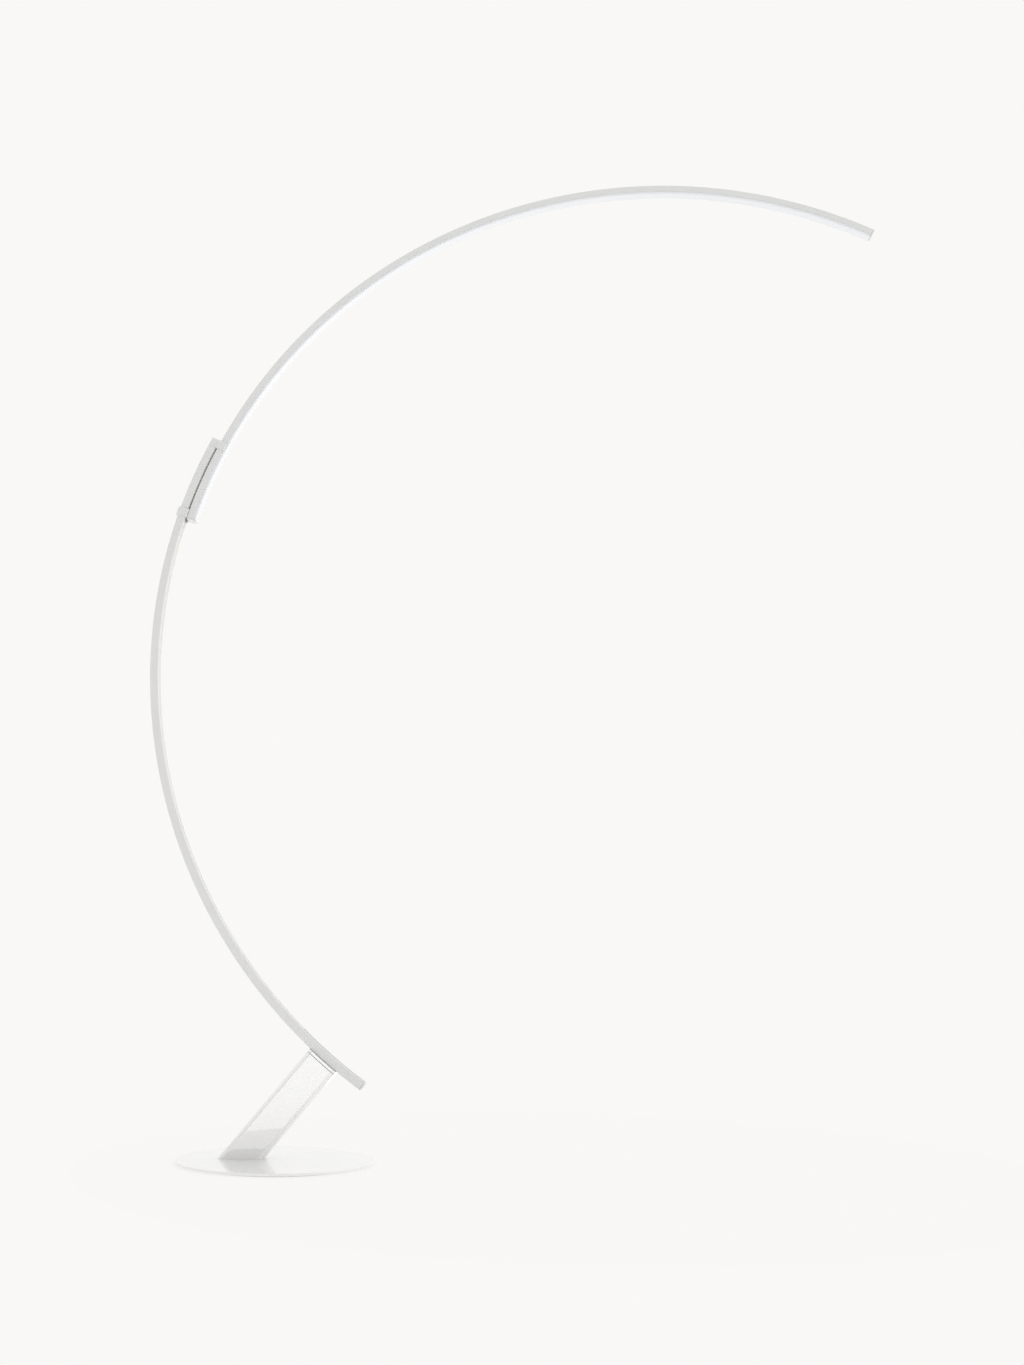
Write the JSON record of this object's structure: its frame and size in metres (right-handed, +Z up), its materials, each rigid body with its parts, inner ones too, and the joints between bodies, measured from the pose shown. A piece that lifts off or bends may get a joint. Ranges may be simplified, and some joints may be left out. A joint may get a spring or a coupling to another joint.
{
  "type": "arc floor lamp",
  "caption": "Floor lamp with a round base, a leaning post and two bent bars that slide along each other; the upper bar carries a linear light on its inner side.",
  "frame": {"origin": "middle of the floor pad's underside, on the floor", "axes": "+Z up, +X from the base towards the light's free end, +Y towards the back; the bars lie in the XZ plane"},
  "size_m": [1.5898, 0.4, 2.169],
  "materials": {
    "white_gloss": "gloss",
    "white_satin": "satin",
    "bare_aluminium": "satin",
    "zinc_steel": "satin",
    "copper": "satin",
    "opal": "satin",
    "natural_nylon": "matte",
    "black_plastic": "matte",
    "board_white": "satin",
    "felt": "matte"
  },
  "bodies": {
    "stand": {"floor_pad": "felt", "base_plate": "white_gloss", "foot_bolt_1": "zinc_steel", "foot_bolt_2": "zinc_steel", "foot_block": "bare_aluminium", "post_shell": "white_gloss", "post_top_plate": "bare_aluminium", "saddle": "white_gloss", "saddle_bolt_1": "zinc_steel", "saddle_bolt_2": "zinc_steel", "nut_plate_1": "zinc_steel", "nut_plate_2": "zinc_steel", "driver": "black_plastic", "driver_carrier": "zinc_steel", "inlet_gland": "black_plastic", "supply_lead": "black_plastic", "lower_arc": "white_satin", "stub_cap": "white_satin", "conductor_track": "natural_nylon", "conductor_1": "copper", "conductor_2": "copper", "upper_collar": "white_satin", "upper_liner": "natural_nylon", "upper_collar_screw_1": "zinc_steel", "upper_collar_screw_2": "zinc_steel"},
    "light_arm": {"light_arc": "white_satin", "diffuser": "opal", "led_board": "board_white", "tip_cap": "white_satin", "heel_cap": "white_satin", "lower_collar": "white_satin", "lower_liner": "natural_nylon", "lower_collar_screw_1": "zinc_steel", "lower_collar_screw_2": "zinc_steel", "contact_shoe": "black_plastic"}
  },
  "joints": [
    {"name": "arc_slide", "type": "hinge", "parent": "stand", "child": "light_arm", "pos_m": [0.78926, 0, 1.07347], "axis": [0, 1, 0], "range_deg": [-62, 7.5]}
  ]
}
